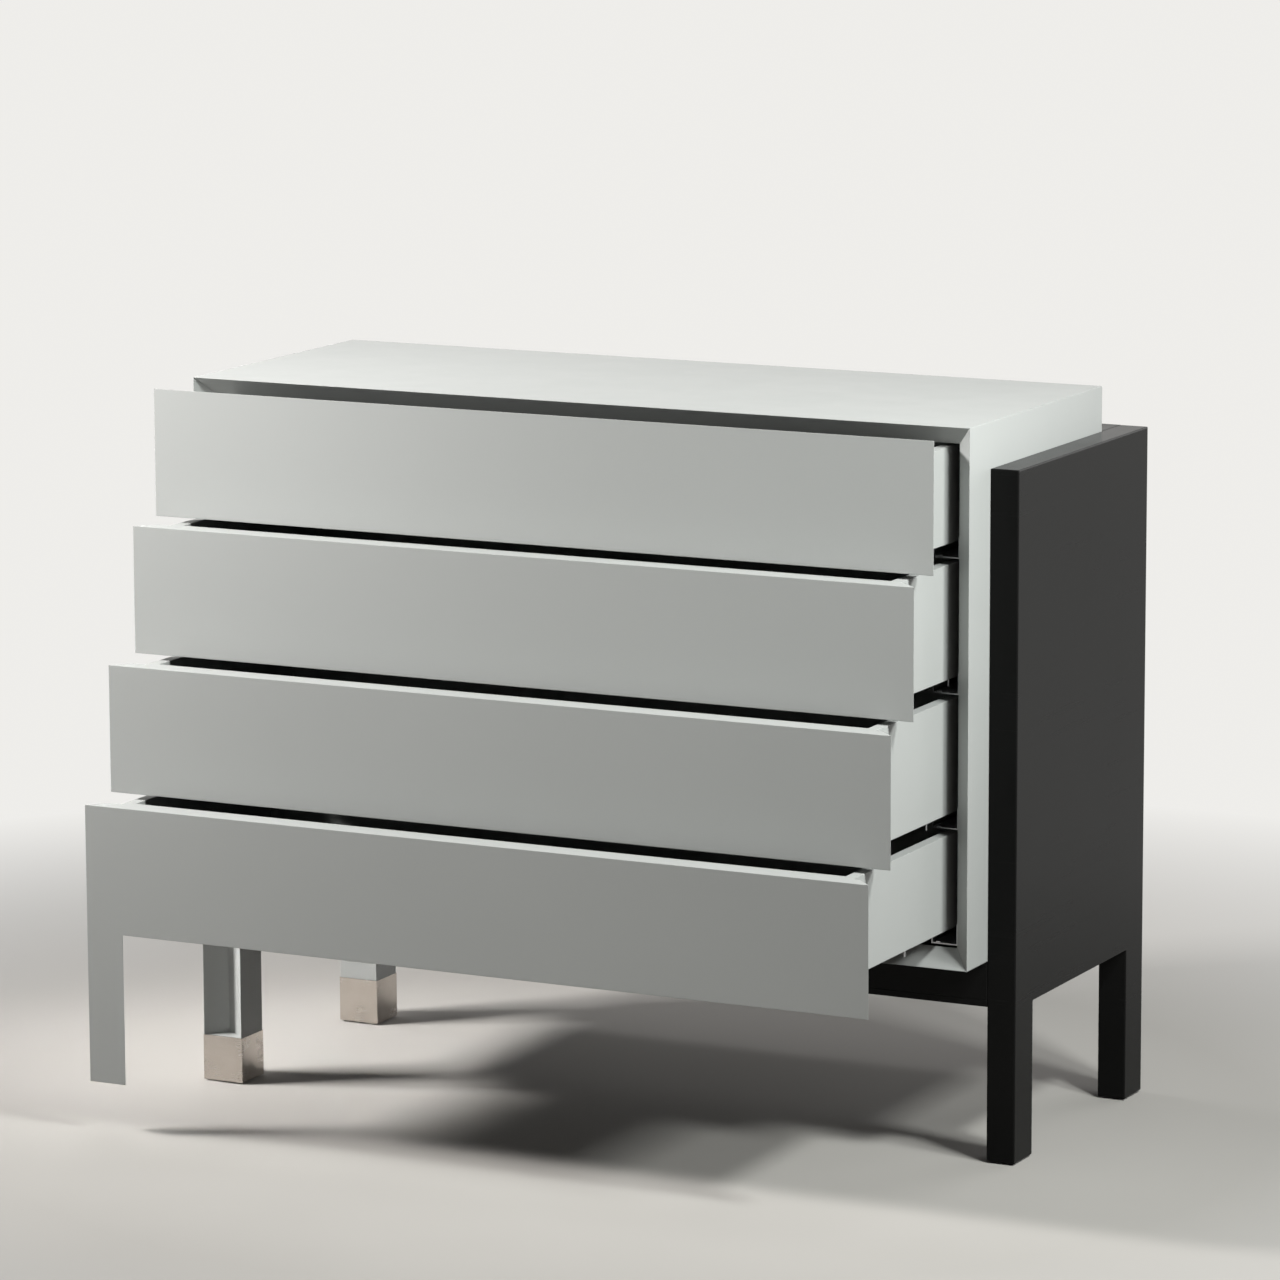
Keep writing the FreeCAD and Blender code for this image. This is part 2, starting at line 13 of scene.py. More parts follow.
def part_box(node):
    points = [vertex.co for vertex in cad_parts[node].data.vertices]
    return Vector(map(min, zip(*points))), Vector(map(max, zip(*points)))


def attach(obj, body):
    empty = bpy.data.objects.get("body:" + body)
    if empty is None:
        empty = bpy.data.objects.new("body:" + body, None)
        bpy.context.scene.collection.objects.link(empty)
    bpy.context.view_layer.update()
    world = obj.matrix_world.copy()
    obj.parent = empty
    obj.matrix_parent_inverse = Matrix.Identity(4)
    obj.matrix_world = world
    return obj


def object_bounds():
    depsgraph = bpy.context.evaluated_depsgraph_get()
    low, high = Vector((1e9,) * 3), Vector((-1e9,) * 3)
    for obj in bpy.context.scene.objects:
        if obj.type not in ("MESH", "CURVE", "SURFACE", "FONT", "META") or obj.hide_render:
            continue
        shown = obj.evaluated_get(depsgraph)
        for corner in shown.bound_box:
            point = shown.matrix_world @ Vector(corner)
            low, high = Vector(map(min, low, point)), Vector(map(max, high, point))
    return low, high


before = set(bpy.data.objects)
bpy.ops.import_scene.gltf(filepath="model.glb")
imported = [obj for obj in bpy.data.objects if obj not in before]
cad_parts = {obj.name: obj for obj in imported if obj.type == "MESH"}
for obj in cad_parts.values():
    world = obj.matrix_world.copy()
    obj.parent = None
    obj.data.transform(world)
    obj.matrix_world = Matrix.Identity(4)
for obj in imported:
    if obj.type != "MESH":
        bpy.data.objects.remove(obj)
CAD_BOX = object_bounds()

LOG = logging.getLogger("chest_on_chest")
CHEST = "chest"
DRAWER_COUNT = 4

Socket = bpy.types.NodeSocket
Piece = bpy.types.Object
Colour = tuple[float, float, float]
Point = tuple[float, float, float]
Span = tuple[float, float]

FULL_SPAN: Span = (0.0, 1.0)
NOISE_SPAN: Span = (0.3, 0.7)
CLOUD_SPAN: Span = (0.32, 0.68)
WHITE_LIGHT: Colour = (1.0, 1.0, 1.0)
WARM_LIGHT: Colour = (1.0, 0.985, 0.965)
COOL_LIGHT: Colour = (0.97, 1.0, 0.975)


class Slot(Enum):
    """The record's material slots."""

    GREY = "grey_lacquer"
    BLACK = "black_lacquer"
    PANEL = "dark_panel"
    SHOE = "shoe_metal"
    STEEL = "runner_steel"
    GLIDE = "glide_plastic"


class Join(Enum):
    """The ways to join two patterns, as the math node names them."""

    SUM = "ADD"
    PRODUCT = "MULTIPLY"
    GREATEST = "MAXIMUM"


class Detail(Enum):
    """How many finer layers a noise has."""

    SMOOTH = 1.0
    SOFT = 2.0
    CLOUDY = 3.0
    RICH = 4.0


class Boolean(Enum):
    """What a tool does to a piece, as the modifier names it."""

    CUT = "DIFFERENCE"
    UNITE = "UNION"


class Facing(Enum):
    """The way that a screw's head looks, as a turn from looking up."""

    BACK = (-math.pi / 2, 0.0, 0.0)
    RIGHT = (0.0, math.pi / 2, 0.0)
    LEFT = (0.0, -math.pi / 2, 0.0)


Spot = tuple[Point, Facing]


def shade(colour: Colour, factor: float) -> Colour:
    """Make a colour lighter or darker by a factor."""
    return tuple(min(1.0, part * factor) for part in colour)


@dataclass(frozen=True)
class Edge:
    """An eased edge: the normal that rounds it, and how much of the surface is edge, from 0 to 1."""

    normal: Socket
    amount: Socket


class NodeBoard:
    """The node tree of a new material, with short ways to add nodes and join them."""

    edge_samples: int = 6
    edge_likeness: Span = (0.995, 0.8)

    def __init__(self, name: str) -> None:
        """Start a material with its shader.

        Args:
            name: what the material is called.
        """
        self.material = bpy.data.materials.new(name)
        self.material.use_nodes = True
        self.nodes = self.material.node_tree.nodes
        self.links = self.material.node_tree.links
        self.shader = self.nodes["Principled BSDF"]

    def feed(self, source: Socket, target: str) -> None:
        """Join a socket to one of the shader's inputs."""
        self.links.new(source, self.shader.inputs[target])

    def place(self, stretch: Point = (1.0, 1.0, 1.0), turn: Point = (0.0, 0.0, 0.0)) -> Socket:
        """Give the piece's own coordinates, stretched and turned.

        Args:
            stretch: how many times finer the pattern is along each axis.
            turn: the pattern's turn about each axis, in radians.

        Returns:
            The socket that holds the place.
        """
        source = self.nodes.new("ShaderNodeTexCoord")
        mapping = self.nodes.new("ShaderNodeMapping")
        mapping.inputs["Scale"].default_value = stretch
        mapping.inputs["Rotation"].default_value = turn
        self.links.new(source.outputs["Object"], mapping.inputs["Vector"])
        return mapping.outputs["Vector"]

    def noise(self, place: Socket, detail: Detail, scale: float = 1.0) -> Socket:
        """Give a soft random pattern.

        Args:
            place: where the pattern is read.
            detail: how many finer layers it has.
            scale: how many waves there are in a metre, where the place isn't stretched.

        Returns:
            The socket that holds the pattern, from 0 to 1.
        """
        node = self.nodes.new("ShaderNodeTexNoise")
        node.inputs["Scale"].default_value = scale
        node.inputs["Detail"].default_value = detail.value
        self.links.new(place, node.inputs["Vector"])
        return node.outputs["Fac"]

    def cells(self, place: Socket, scale: float) -> bpy.types.Node:
        """Give a pattern of cells, each with a random colour.

        Args:
            place: where the pattern is read.
            scale: how many cells there are in a metre.

        Returns:
            The node, which gives a cell's colour and the distance to its middle.
        """
        node = self.nodes.new("ShaderNodeTexVoronoi")
        node.inputs["Scale"].default_value = scale
        self.links.new(place, node.inputs["Vector"])
        return node

    def tones(self, value: Socket, span: Span, colour: Colour, factors: Span) -> Socket:
        """Go from one tone of a colour to another by a pattern.

        Args:
            value: the pattern.
            span: the values at which the two tones are reached.
            colour: the colour.
            factors: how light each tone is, as a factor of the colour.

        Returns:
            The socket that holds the colour.
        """
        node = self.nodes.new("ShaderNodeValToRGB")
        for element, position, factor in zip(node.color_ramp.elements, span, factors):
            element.position = position
            element.color = (*shade(colour, factor), 1.0)
        self.links.new(value, node.inputs["Fac"])
        return node.outputs["Color"]

    def spread(self, value: Socket, source: Span, target: Span) -> Socket:
        """Map a pattern from one range of values to another.

        Args:
            value: the pattern.
            source: the range that is read.
            target: the range that is given.

        Returns:
            The socket that holds the result.
        """
        node = self.nodes.new("ShaderNodeMapRange")
        node.inputs["From Min"].default_value, node.inputs["From Max"].default_value = source
        node.inputs["To Min"].default_value, node.inputs["To Max"].default_value = target
        self.links.new(value, node.inputs["Value"])
        return node.outputs["Result"]

    def join(self, way: Join, first: Socket, second: Socket) -> Socket:
        """Join two patterns.

        Args:
            way: how they are joined.
            first: the one pattern.
            second: the other.

        Returns:
            The socket that holds the result.
        """
        node = self.nodes.new("ShaderNodeMath")
        node.operation = way.value
        self.links.new(first, node.inputs[0])
        self.links.new(second, node.inputs[1])
        return node.outputs["Value"]

    def blend(self, amount: Socket, first: Socket, second: Socket) -> Socket:
        """Go from one colour to another by a pattern.

        Args:
            amount: the pattern.
            first: the colour where it is 0.
            second: the colour where it is 1.

        Returns:
            The socket that holds the colour.
        """
        node = self.nodes.new("ShaderNodeMix")
        node.data_type = "RGBA"
        self.links.new(amount, node.inputs["Factor"])
        self.links.new(first, node.inputs["A"])
        self.links.new(second, node.inputs["B"])
        return node.outputs["Result"]

    def within(self, place: Socket, low: Point, high: Point, soft: float) -> Socket:
        """Tell whether a place lies in a box.

        Args:
            place: the place.
            low: the box's lowest corner.
            high: its highest corner.
            soft: how far outside the box the answer has faded, in metres.

        Returns:
            The socket that holds the answer, 1 inside and 0 outside.
        """
        parts = self.nodes.new("ShaderNodeSeparateXYZ")
        self.links.new(place, parts.inputs["Vector"])
        answers = []
        for axis, start, end in zip("XYZ", low, high):
            answers.append(self.spread(parts.outputs[axis], (start - soft, start), FULL_SPAN))
            answers.append(self.spread(parts.outputs[axis], (end + soft, end), FULL_SPAN))
        answer = answers[0]
        for other in answers[1:]:
            answer = self.join(Join.PRODUCT, answer, other)
        return answer

    def ease(self, radius: float) -> Edge:
        """Round the edges in the light, and find where they are.

        Args:
            radius: the round's radius in metres.

        Returns:
            The eased edge.
        """
        bevel = self.nodes.new("ShaderNodeBevel")
        bevel.samples = self.edge_samples
        bevel.inputs["Radius"].default_value = radius
        flat = self.nodes.new("ShaderNodeNewGeometry")
        likeness = self.nodes.new("ShaderNodeVectorMath")
        likeness.operation = "DOT_PRODUCT"
        self.links.new(bevel.outputs["Normal"], likeness.inputs[0])
        self.links.new(flat.outputs["Normal"], likeness.inputs[1])
        return Edge(
            normal=bevel.outputs["Normal"],
            amount=self.spread(likeness.outputs["Value"], self.edge_likeness, FULL_SPAN),
        )

    def bump(self, height: Socket, strength: float, depth: float, under: Socket | None = None) -> Socket:
        """Tilt the surface by a pattern.

        Args:
            height: the pattern.
            strength: how much of it shows, from 0 to 1.
            depth: metres from its lowest to its highest point.
            under: the normal of a bump below this one.

        Returns:
            The socket that holds the normal.
        """
        node = self.nodes.new("ShaderNodeBump")
        node.inputs["Strength"].default_value = strength
        node.inputs["Distance"].default_value = depth
        self.links.new(height, node.inputs["Height"])
        if under is not None:
            self.links.new(under, node.inputs["Normal"])
        return node.outputs["Normal"]


@dataclass(frozen=True)
class Finish:
    """What the finishes share: a name, a slot of the record and a main colour.

    In every finish a scale counts waves or cells in a metre, and depths and edges are in metres. A span is
    the part of a pattern that is read, tones are factors of a colour, and what dulls adds to the roughness.
    """

    name: str
    slot: Slot
    colour: Colour

    def material(self) -> bpy.types.Material:
        """Give the finish's material, made at its first use."""
        found = bpy.data.materials.get(self.name)
        return found if found else self.make()

    def make(self) -> bpy.types.Material:
        """Make the material. Each kind of finish has its own way."""
        raise NotImplementedError


@dataclass(frozen=True)
class Lacquer(Finish):
    """Sprayed satin lacquer on board: orange peel, slow drifts of tone and gloss, wiping marks and dust.

    A speck of dust fades between its two radii, which are shares of a cell.
    """

    gloss: Span = (0.4, 0.5)
    shine: float = 0.35
    drift: float = 0.015
    drift_scale: float = 1.9
    grain: float = 0.012
    grain_scale: float = 1100.0
    grain_span: Span = (0.42, 0.62)
    patch_scale: float = 13.0
    wiping: Point = (2.0, 2.0, 90.0)
    wiping_turn: Point = (0.0, 0.35, 0.2)
    wiping_span: Span = (0.55, 0.75)
    wiping_dulls: float = 0.05
    wave_scale: float = 6.0
    wave_depth: float = 0.002
    peel_scale: float = 420.0
    peel_depth: float = 0.00025
    relief: float = 0.05
    dust: Colour = (0.5, 0.5, 0.5)
    dust_tones: Span = (0.9, 1.0)
    dust_scale: float = 75.0
    dust_radii: Span = (0.03, 0.015)
    dust_share: float = 0.05
    dust_cover: float = 0.9
    edge: float = 0.0009
    edge_wear_and_highlight_tones: Span = (1.15, 1.2075)
    edge_patch_scale: float = 55.0
    edge_patch_span: Span = (0.4, 0.62)
    edge_patch_cover: Span = (0.15, 0.8)

    def make(self) -> bpy.types.Material:
        """Make the lacquer's nodes.

        Returns:
            The material.
        """
        board = NodeBoard(self.name)
        board.shader.inputs["Specular IOR Level"].default_value = self.shine
        place = board.place()
        edge = board.ease(self.edge)
        board.feed(self.tint(board, place, edge), "Base Color")
        patchy = board.noise(place, Detail.CLOUDY, self.patch_scale)
        patches = board.spread(patchy, NOISE_SPAN, self.gloss)
        wiped = board.noise(board.place(self.wiping, self.wiping_turn), Detail.RICH)
        marks = board.spread(wiped, self.wiping_span, (0.0, self.wiping_dulls))
        board.feed(board.join(Join.SUM, patches, marks), "Roughness")
        swell = board.noise(place, Detail.SMOOTH, self.wave_scale)
        waves = board.bump(swell, self.relief, self.wave_depth, edge.normal)
        peel = board.noise(place, Detail.SOFT, self.peel_scale)
        board.feed(board.bump(peel, self.relief, self.peel_depth, waves), "Normal")
        return board.material

    def tint(self, board: NodeBoard, place: Socket, edge: Edge) -> Socket:
        """Make the lacquer's colour: slow drifts, a fine mist, specks of dust, and lighter edges, partly
        wear and partly painted highlight.

        Args:
            board: the material's nodes.
            place: where the patterns are read.
            edge: the eased edge.

        Returns:
            The socket that holds the colour.
        """
        cloud = board.noise(place, Detail.CLOUDY, self.drift_scale)
        mist = board.noise(place, Detail.SMOOTH, self.grain_scale)
        low, high = 1.0 - self.drift, 1.0 + self.drift
        toned = board.tones(cloud, CLOUD_SPAN, self.colour, (low, high))
        grained = board.tones(cloud, CLOUD_SPAN, self.colour, (low - self.grain, high - self.grain))
        misted = board.blend(board.spread(mist, self.grain_span, FULL_SPAN), grained, toned)
        cells = board.cells(place, self.dust_scale)
        speck = board.spread(cells.outputs["Distance"], self.dust_radii, FULL_SPAN)
        few = (1.0 - self.dust_share, 1.0)
        chosen = board.spread(cells.outputs["Color"], few, (0.0, self.dust_cover))
        dusty = board.tones(cloud, NOISE_SPAN, self.dust, self.dust_tones)
        dusted = board.blend(board.join(Join.PRODUCT, speck, chosen), misted, dusty)
        # The arrises are made lighter in patches: partly wear, partly painted highlight along the edges.
        edge_patches = board.noise(place, Detail.CLOUDY, self.edge_patch_scale)
        worn_and_lit = board.spread(edge_patches, self.edge_patch_span, self.edge_patch_cover)
        worn_lit_edge = board.tones(cloud, CLOUD_SPAN, self.colour, self.edge_wear_and_highlight_tones)
        return board.blend(board.join(Join.PRODUCT, edge.amount, worn_and_lit), dusted, worn_lit_edge)


@dataclass(frozen=True)
class LacquerWithPaintedShade(Lacquer):
    """Lacquer on the outside of a case, with painted shade, a near-black colour, in the box of its inside.
    """

    painted_shade_colour: Colour = (0.012, 0.012, 0.012)
    painted_shade_tones: Span = (0.85, 1.2)
    mottle_scale: float = 24.0
    low: Point = (0.0, 0.0, 0.0)
    high: Point = (0.0, 0.0, 0.0)
    soft: float = 0.0002

    def tint(self, board: NodeBoard, place: Socket, edge: Edge) -> Socket:
        """Make the colour: the outside's, and painted shade in the box of the inside.

        Args:
            board: the material's nodes.
            place: where the patterns are read.
            edge: the eased edge.

        Returns:
            The socket that holds the colour.
        """
        outside = super().tint(board, place, edge)
        mottle = board.noise(place, Detail.CLOUDY, self.mottle_scale)
        # Painted shade: a near-black colour inside the case, where the slots lie in shade.
        inside = board.tones(mottle, NOISE_SPAN, self.painted_shade_colour, self.painted_shade_tones)
        return board.blend(board.within(place, self.low, self.high, self.soft), outside, inside)


@dataclass(frozen=True)
class BrushedMetal(Finish):
    """Satin nickel with hair-fine level lines brushed round it, finger marks, and lighter arrises, partly
    wear and partly painted highlight.
    """

    gloss: Span = (0.17, 0.25)
    stretch: float = 0.35
    lines: Point = (60.0, 60.0, 3600.0)
    line_span: Span = (0.3, 0.65)
    line_tones: Span = (0.97, 1.03)
    line_relief: float = 0.015
    line_depth: float = 0.00005
    smudge_scale: float = 24.0
    smudge_span: Span = (0.5, 0.75)
    smudge_dulls: float = 0.1
    tarnish_span: Span = (0.42, 0.68)
    tarnish_cover: float = 0.9
    tarnish_tone_span: Span = (0.4, 0.7)
    tarnish_tones: Span = (0.84, 0.94)
    edge: float = 0.0003
    edge_wear_and_highlight_tones: Span = (1.04, 1.1)

    def make(self) -> bpy.types.Material:
        """Make the metal's nodes.

        Returns:
            The material.
        """
        board = NodeBoard(self.name)
        board.shader.inputs["Metallic"].default_value = 1.0
        board.shader.inputs["Anisotropic"].default_value = self.stretch
        brushed = board.noise(board.place(self.lines), Detail.SOFT)
        smudged = board.noise(board.place(), Detail.CLOUDY, self.smudge_scale)
        edge = board.ease(self.edge)
        satin = board.tones(brushed, self.line_span, self.colour, self.line_tones)
        tarnished = board.tones(smudged, self.tarnish_tone_span, self.colour, self.tarnish_tones)
        amount = board.spread(smudged, self.tarnish_span, (0.0, self.tarnish_cover))
        aged = board.blend(amount, satin, tarnished)
        # Painted highlight along the arrises, partly worn bright metal.
        worn_and_lit = board.tones(smudged, NOISE_SPAN, self.colour, self.edge_wear_and_highlight_tones)
        board.feed(board.blend(edge.amount, aged, worn_and_lit), "Base Color")
        streaks = board.spread(brushed, NOISE_SPAN, self.gloss)
        dulled = board.spread(smudged, self.smudge_span, (0.0, self.smudge_dulls))
        board.feed(board.join(Join.SUM, streaks, dulled), "Roughness")
        board.feed(board.bump(brushed, self.line_relief, self.line_depth, edge.normal), "Normal")
        return board.material


@dataclass(frozen=True)
class PlatedSteel(Finish):
    """Zinc plated sheet steel, drawn front to back, with the faint patches of its plating."""

    gloss: Span = (0.3, 0.46)
    lines: Point = (1500.0, 5.0, 1500.0)
    line_span: Span = (0.35, 0.65)
    line_cover: Span = (0.2, 0.6)
    line_tones: Span = (0.8, 1.0)
    line_relief: float = 0.1
    line_depth: float = 0.0001
    patch_scale: float = 210.0
    patch_tones: Span = (0.84, 1.1)

    def make(self) -> bpy.types.Material:
        """Make the steel's nodes.

        Returns:
            The material.
        """
        board = NodeBoard(self.name)
        board.shader.inputs["Metallic"].default_value = 1.0
        drawn = board.noise(board.place(self.lines), Detail.SOFT)
        patches = board.cells(board.place(), self.patch_scale)
        plated = board.tones(patches.outputs["Color"], FULL_SPAN, self.colour, self.patch_tones)
        worn = board.tones(drawn, NOISE_SPAN, self.colour, self.line_tones)
        amount = board.spread(drawn, self.line_span, self.line_cover)
        board.feed(board.blend(amount, plated, worn), "Base Color")
        board.feed(board.spread(drawn, NOISE_SPAN, self.gloss), "Roughness")
        board.feed(board.bump(drawn, self.line_relief, self.line_depth), "Normal")
        return board.material


@dataclass(frozen=True)
class LinenBoard(Finish):
    """Dark board with a pressed linen weave, for the drawer bottoms."""

    gloss: Span = (0.5, 0.66)
    gloss_span: Span = (0.4, 0.7)
    pitch: float = 0.0014
    slub_scale: float = 14.0
    weave_span: Span = (0.4, 0.72)
    weave_tones: Span = (0.75, 1.35)
    weave_relief: float = 0.3
    weave_depth: float = 0.00025

    def make(self) -> bpy.types.Material:
        """Make the board's nodes.

        Returns:
            The material.
        """
        board = NodeBoard(self.name)
        threads = 1.0 / self.pitch
        across = board.noise(board.place((threads, self.slub_scale, 1.0)), Detail.SMOOTH)
        along = board.noise(board.place((self.slub_scale, threads, 1.0)), Detail.SMOOTH)
        weave = board.join(Join.GREATEST, across, along)
        board.feed(board.tones(weave, self.weave_span, self.colour, self.weave_tones), "Base Color")
        board.feed(board.spread(weave, self.gloss_span, self.gloss), "Roughness")
        board.feed(board.bump(weave, self.weave_relief, self.weave_depth), "Normal")
        return board.material


@dataclass(frozen=True)
class Nylon(Finish):
    """Moulded plastic with a fine spark texture."""

    gloss: Span = (0.48, 0.62)
    spark_scale: float = 1600.0
    spark_relief: float = 0.2
    spark_depth: float = 0.0002
    wear_scale: float = 60.0
    wear_tones: Span = (0.8, 1.4)

    def make(self) -> bpy.types.Material:
        """Make the plastic's nodes.

        Returns:
            The material.
        """
        board = NodeBoard(self.name)
        place = board.place()
        spark = board.noise(place, Detail.SOFT, self.spark_scale)
        worn = board.noise(place, Detail.CLOUDY, self.wear_scale)
        board.feed(board.tones(worn, NOISE_SPAN, self.colour, self.wear_tones), "Base Color")
        board.feed(board.spread(worn, NOISE_SPAN, self.gloss), "Roughness")
        board.feed(board.bump(spark, self.spark_relief, self.spark_depth), "Normal")
        return board.material


GREY_LACQUER = Lacquer("grey_satin_lacquer", Slot.GREY, (0.402, 0.412, 0.404), dust=(0.34, 0.35, 0.34))
BLACK_LACQUER = Lacquer(
    "black_satin_lacquer",
    Slot.BLACK,
    (0.0075, 0.0075, 0.0073),
    gloss=(0.22, 0.26),
    shine=0.055,
    drift=0.08,
    grain=0.06,
    dust=(0.06, 0.06, 0.058),
    dust_share=0.07,
    edge=0.0022,
    # Much lighter black arrises: painted highlight, partly wear.
    edge_wear_and_highlight_tones=(2.2, 2.31),
)
DARK_PANEL = LinenBoard("dark_linen_board", Slot.PANEL, (0.03, 0.03, 0.03))
NICKEL = BrushedMetal("brushed_nickel", Slot.SHOE, (0.635, 0.583, 0.535))
ZINC = PlatedSteel("zinc_plated_steel", Slot.STEEL, (0.42, 0.425, 0.43))
BLACK_NYLON = Nylon("black_nylon", Slot.GLIDE, (0.02, 0.02, 0.02))


def dress(nodes: Iterable[str], finish: Finish) -> None:
    """Give CAD nodes a finish.

    Args:
        nodes: the nodes' names.
        finish: what they get.
    """
    for name in nodes:
        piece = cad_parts[name]
        if not piece.material_slots:
            piece.data.materials.append(None)
        for slot in piece.material_slots:
            slot.material = finish.material()
        LOG.info("dressed %s in %s", name, finish.name)


class Hand:
    """The moves that shape a piece: choosing, placing, cutting, copying and joining."""

    @staticmethod
    def hold(*pieces: Piece) -> None:
        """Select some pieces alone and make the first one active.

        Args:
            pieces: the pieces.
        """
        bpy.ops.object.select_all(action="DESELECT")
        for piece in pieces:
            piece.select_set(True)
        bpy.context.view_layer.objects.active = pieces[0]

    @staticmethod
    def pick_edges(piece: Piece, wanted: Callable[[Vector, Vector], bool]) -> None:
        """Open a piece for editing, with only some of its edges selected.

        Args:
            piece: the piece.
            wanted: says of an edge's two ends whether it is chosen.
        """
        Hand.hold(piece)
        bpy.ops.object.mode_set(mode="EDIT")
        bpy.ops.mesh.select_mode(type="EDGE")
        bpy.ops.mesh.select_all(action="DESELECT")
        bpy.ops.object.mode_set(mode="OBJECT")
        corners = piece.data.vertices
        for edge in piece.data.edges:
            edge.select = wanted(*(corners[index].co for index in edge.vertices))
        bpy.ops.object.mode_set(mode="EDIT")

    @staticmethod
    def settle(piece: Piece) -> None:
        """Put a piece's place and turn into its mesh."""
        Hand.hold(piece)
        bpy.ops.object.transform_apply(location=True, rotation=True, scale=True)

    @staticmethod
    def work(piece: Piece, tool: Piece, way: Boolean) -> None:
        """Cut a tool out of a piece or unite the two, and take the tool away.

        Args:
            piece: the piece that stays.
            tool: the other piece.
            way: what the tool does.
        """
        modifier = piece.modifiers.new("tool", "BOOLEAN")
        modifier.operation = way.value
        modifier.solver = "EXACT"
        modifier.object = tool
        Hand.hold(piece)
        bpy.ops.object.modifier_apply(modifier=modifier.name)
        bpy.data.objects.remove(tool)

    @staticmethod
    def copy(pattern: Piece, placement: Matrix) -> Piece:
        """Copy a piece with a mesh of its own.

        Args:
            pattern: the piece to copy, modelled at the origin.
            placement: where the copy goes.

        Returns:
            The copy, with its place in its mesh.
        """
        Hand.hold(pattern)
        bpy.ops.object.duplicate(linked=False)
        twin = bpy.context.object
        twin.matrix_world = placement
        Hand.settle(twin)
        return twin

    @staticmethod
    def join(name: str, pieces: list[Piece]) -> Piece:
        """Join pieces into one.

        Args:
            name: what the joined piece is called.
            pieces: what is joined.

        Returns:
            The joined piece.
        """
        Hand.hold(*pieces)
        bpy.ops.object.join()
        joined = bpy.context.object
        joined.name = name
        joined.data.name = name
        return joined


@dataclass
class Screw:
    """A pan head screw with a cross recess. Only its head shows."""

    radius: float = 0.0042
    height: float = 0.0026
    facets: int = 28
    round_over: float = 0.0017
    round_steps: int = 5
    recess_span: float = 0.0048
    recess_width: float = 0.0011
    recess_depth: float = 0.0014
    recess_taper: float = 0.55
    margin: float = 0.00003
    smooth_angle: float = math.radians(32)

    def model(self) -> Piece:
        """Model one head at the origin, looking up.

        Returns:
            The head.
        """
        bpy.ops.object.select_all(action="DESELECT")
        middle = (0.0, 0.0, self.height / 2)
        bpy.ops.mesh.primitive_cylinder_add(
            vertices=self.facets, radius=self.radius, depth=self.height, location=middle
        )
        head = bpy.context.object
        head.name = "screw_head"
        Hand.settle(head)
        top = self.height - self.margin
        Hand.pick_edges(head, lambda start, end: start.z > top and end.z > top)
        bpy.ops.mesh.bevel(offset=self.round_over, segments=self.round_steps, affect="EDGES")
        bpy.ops.object.mode_set(mode="OBJECT")
        Hand.work(head, self.recess(), Boolean.CUT)
        Hand.hold(head)
        bpy.ops.object.shade_smooth_by_angle(angle=self.smooth_angle)
        return head

    def recess(self) -> Piece:
        """Model the cross that is cut out of the head, narrower towards its floor.

        Returns:
            The cross.
        """
        arms = []
        floor = self.height - self.recess_depth + self.margin
        for turn in (0.0, math.pi / 2):
            bpy.ops.object.select_all(action="DESELECT")
            bpy.ops.mesh.primitive_cube_add(size=1.0)
            arm = bpy.context.object
            arm.scale = (self.recess_span, self.recess_width, self.recess_depth * 2)
            arm.location = (0.0, 0.0, self.height)
            arm.rotation_euler = (0.0, 0.0, turn)
            Hand.settle(arm)
            Hand.pick_edges(arm, lambda start, end: start.z < floor and end.z < floor)
            narrower = (self.recess_taper, self.recess_taper, 1.0)
            bpy.ops.transform.resize(value=narrower, center_override=(0.0, 0.0, self.height))
            bpy.ops.object.mode_set(mode="OBJECT")
            arms.append(arm)
        cross, second = arms
        Hand.work(cross, second, Boolean.UNITE)
        return cross

    def drive(self, name: str, pattern: Piece, spots: Iterable[Spot], body: str) -> Piece:
        """Set copies of the head in place as one piece.

        Args:
            name: what the piece is called.
            pattern: the modelled head.
            spots: pairs of a place and the way that the head looks there.
            body: the CAD body that carries them.

        Returns:
            The piece.
        """
        heads = []
        for spot, facing in spots:
            placement = Matrix.Translation(spot) @ Euler(facing.value).to_matrix().to_4x4()
            heads.append(Hand.copy(pattern, placement))
        piece = Hand.join(name, heads)
        piece.data.materials.clear()
        piece.data.materials.append(ZINC.material())
        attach(piece, body)
        LOG.info("built %s: %d heads on %s", name, len(heads), body)
        return piece


@dataclass
class Carcase:
    """The grey carcase: four mitred boards with knife edges and a back in a rebate."""

    top: str = "carcase_top"
    bottom: str = "carcase_bottom"
    left: str = "carcase_left_side"
    right: str = "carcase_right_side"
    back: str = "carcase_back"

    def finish(self) -> LacquerWithPaintedShade:
        """Give the carcase's lacquer, with painted shade behind the bevels.

        Returns:
            The finish.
        """
        left_low, left_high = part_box(self.left)
        board = left_high.x - left_low.x
        return LacquerWithPaintedShade(
            "grey_lacquer_painted_shade_inside",
            Slot.GREY,
            GREY_LACQUER.colour,
            dust=GREY_LACQUER.dust,
            low=(left_high.x, left_low.y + board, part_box(self.bottom)[1].z),
            high=(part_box(self.right)[0].x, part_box(self.back)[0].y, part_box(self.top)[0].z),
        )

    def dress(self) -> None:
        """Lacquer the boards and the back."""
        dress((self.top, self.bottom, self.left, self.right, self.back), self.finish())


